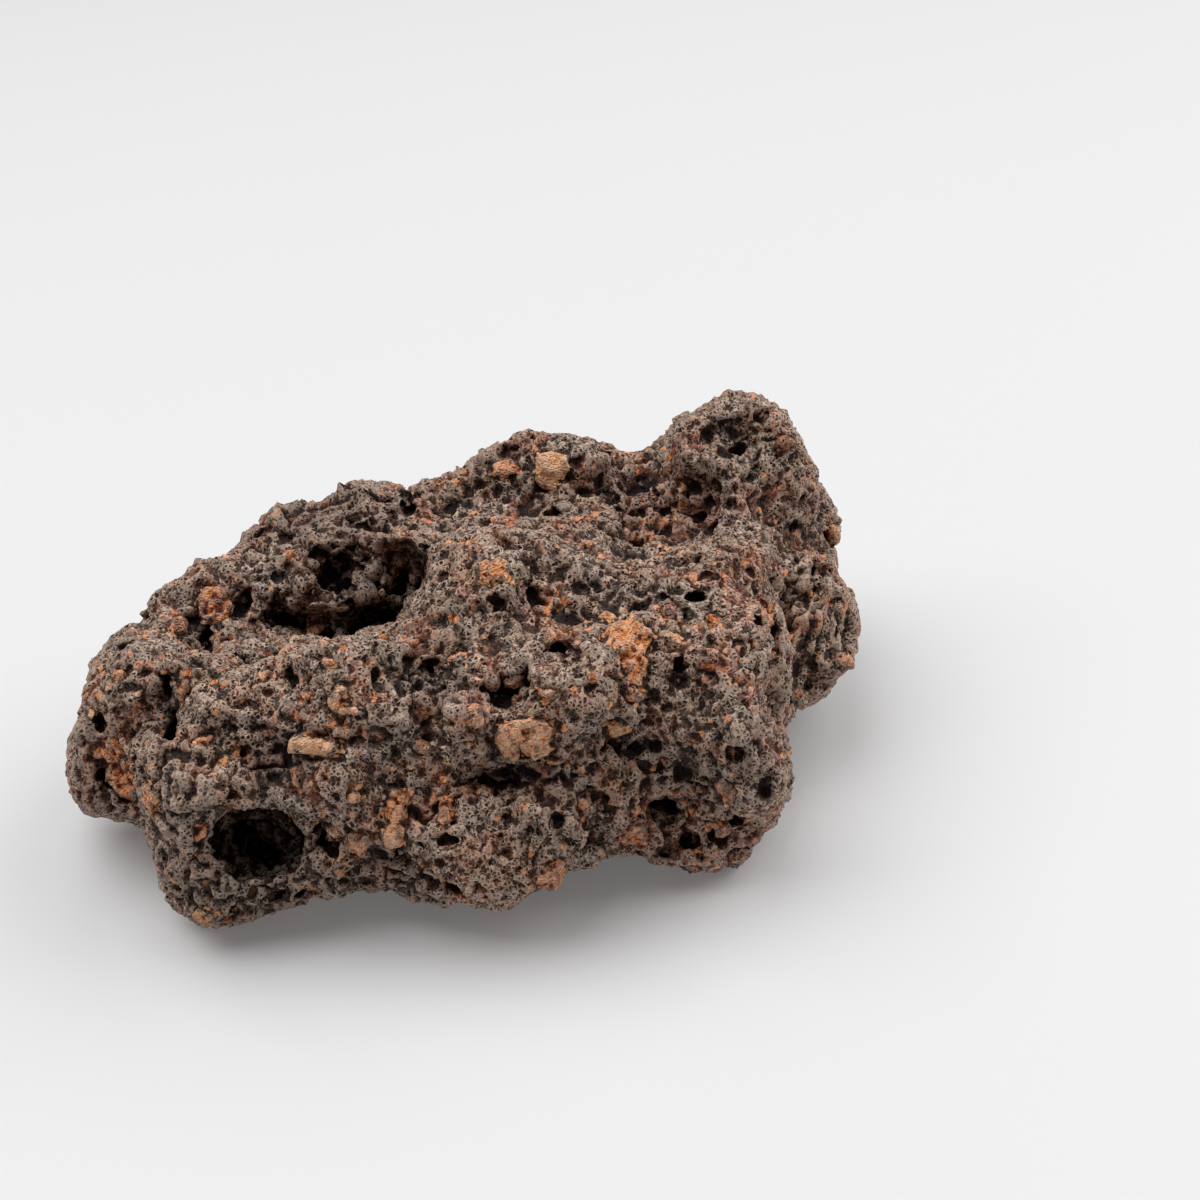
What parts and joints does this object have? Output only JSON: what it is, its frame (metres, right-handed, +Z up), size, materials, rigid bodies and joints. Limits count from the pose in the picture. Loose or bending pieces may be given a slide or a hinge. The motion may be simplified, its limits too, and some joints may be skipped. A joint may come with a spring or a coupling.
{
  "type": "impactite",
  "caption": "Jagged lump of dark vesicular impact glass with orange and pale mineral clasts fused in it, resting on small flats of its underside.",
  "frame": {"origin": "on the ground, under the middle of the stone's box", "axes": "+X along the stone's length, to the right seen from its knobbly front; +Y away from that front; +Z up"},
  "size_m": [0.0292, 0.0218, 0.0121],
  "materials": {
    "impact_glass": "matt dark grey-brown vesicular glass with light pit rims, black pits, and orange, red-brown and pale mineral grains"
  },
  "bodies": {
    "root": {"stone": "impact_glass"}
  },
  "joints": []
}
